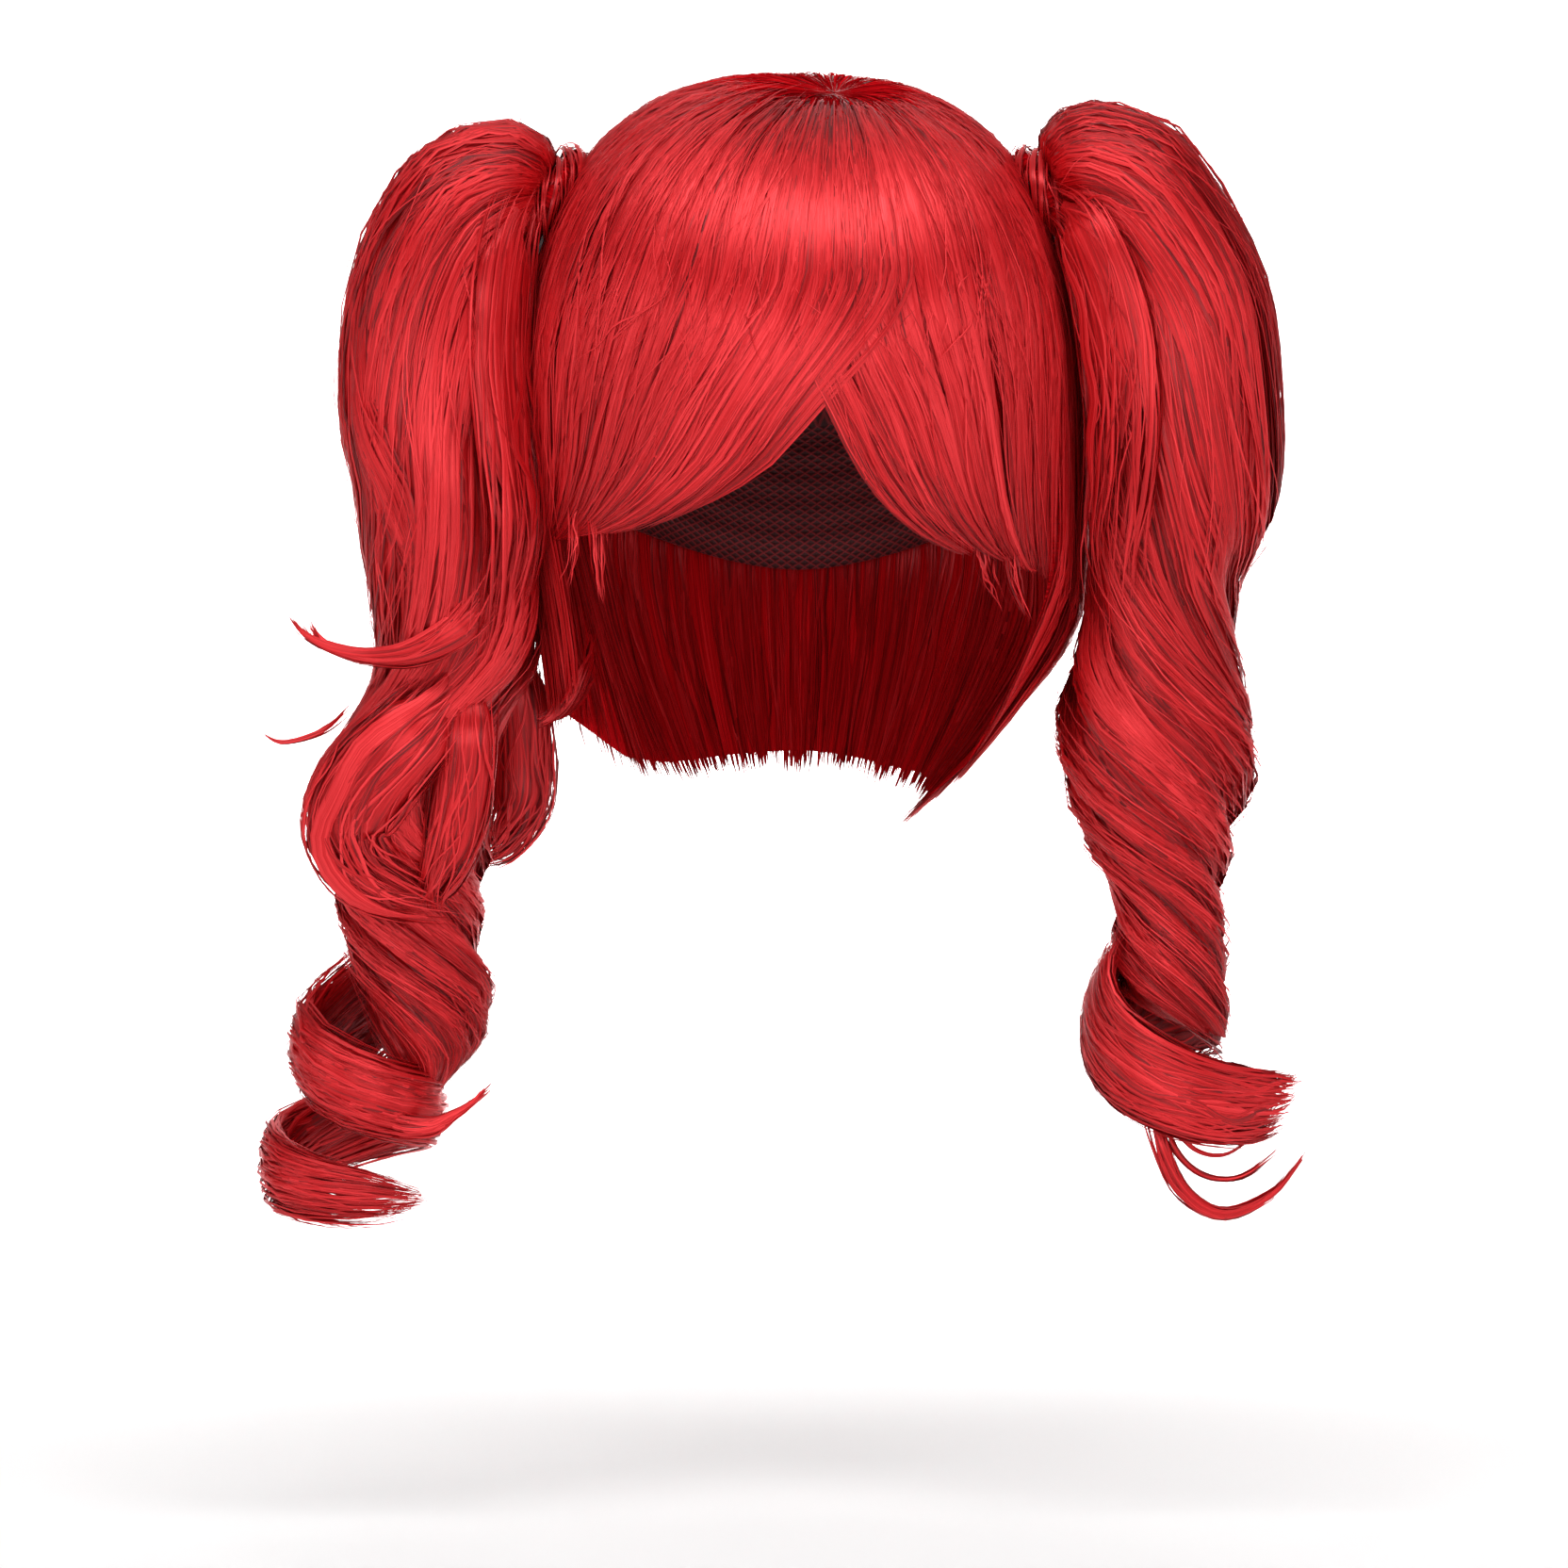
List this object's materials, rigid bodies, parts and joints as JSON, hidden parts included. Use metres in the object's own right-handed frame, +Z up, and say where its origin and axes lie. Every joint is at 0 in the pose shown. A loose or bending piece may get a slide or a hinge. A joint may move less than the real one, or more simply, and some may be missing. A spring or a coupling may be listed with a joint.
{
  "type": "twin-ponytail wig",
  "caption": "Full wig with a swept fringe and a tucked-under bob over an open net cap, and a high curled ponytail at each side, held up by the head that it is worn on.",
  "frame": {"origin": "top of the head, on the inside of the cap where it sits", "axes": "+Z up, the face looks along -Y, +X to the wearer's left"},
  "size_m": [0.3207, 0.2101, 0.3514],
  "materials": {
    "hair": "bright red synthetic hair with a soft sheen",
    "net": "dark red knitted net with rows of wefts",
    "clip": "plain dark red moulded plastic"
  },
  "bodies": {
    "root": {"wig_cap": "net", "crown_hair": "hair", "fringe_right": "hair", "fringe_left": "hair", "side_hair_right": "hair", "side_hair_left": "hair", "nape_hair": "hair", "ponytail_right": "hair", "ponytail_left": "hair", "clip_right": "clip", "clip_left": "clip"}
  },
  "joints": []
}
